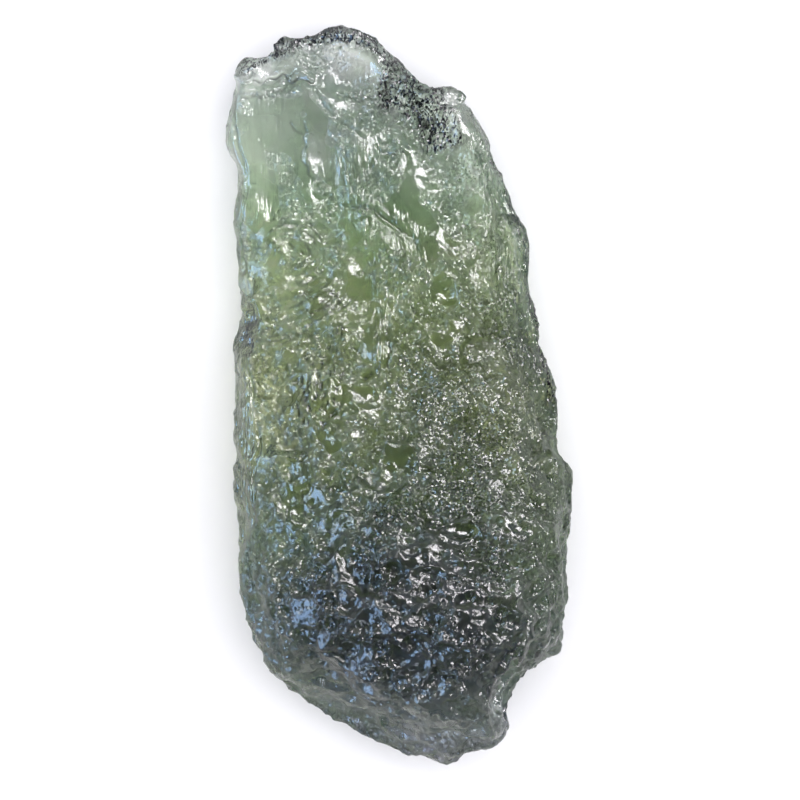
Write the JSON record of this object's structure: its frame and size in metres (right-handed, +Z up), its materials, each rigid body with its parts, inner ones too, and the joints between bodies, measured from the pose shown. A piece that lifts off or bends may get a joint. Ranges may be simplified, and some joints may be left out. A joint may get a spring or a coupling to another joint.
{
  "type": "moldavite",
  "caption": "Natural piece of translucent green tektite glass with a pitted, furrowed surface, thin at its broken end and thick at its foot, lying on a small flat spot.",
  "frame": {"origin": "under the middle of the stone's outline, on the surface it rests on", "axes": "+Z up out of the flat spot it rests on; +Y along the stone's length towards its thin broken end; +X across it, to the right when the stone is seen from above with the thin end away"},
  "size_m": [0.0182, 0.038, 0.0124],
  "materials": {
    "tektite_glass": "glossy, lightly etched natural surface"
  },
  "bodies": {
    "root": {"moldavite": "tektite_glass"}
  },
  "joints": []
}
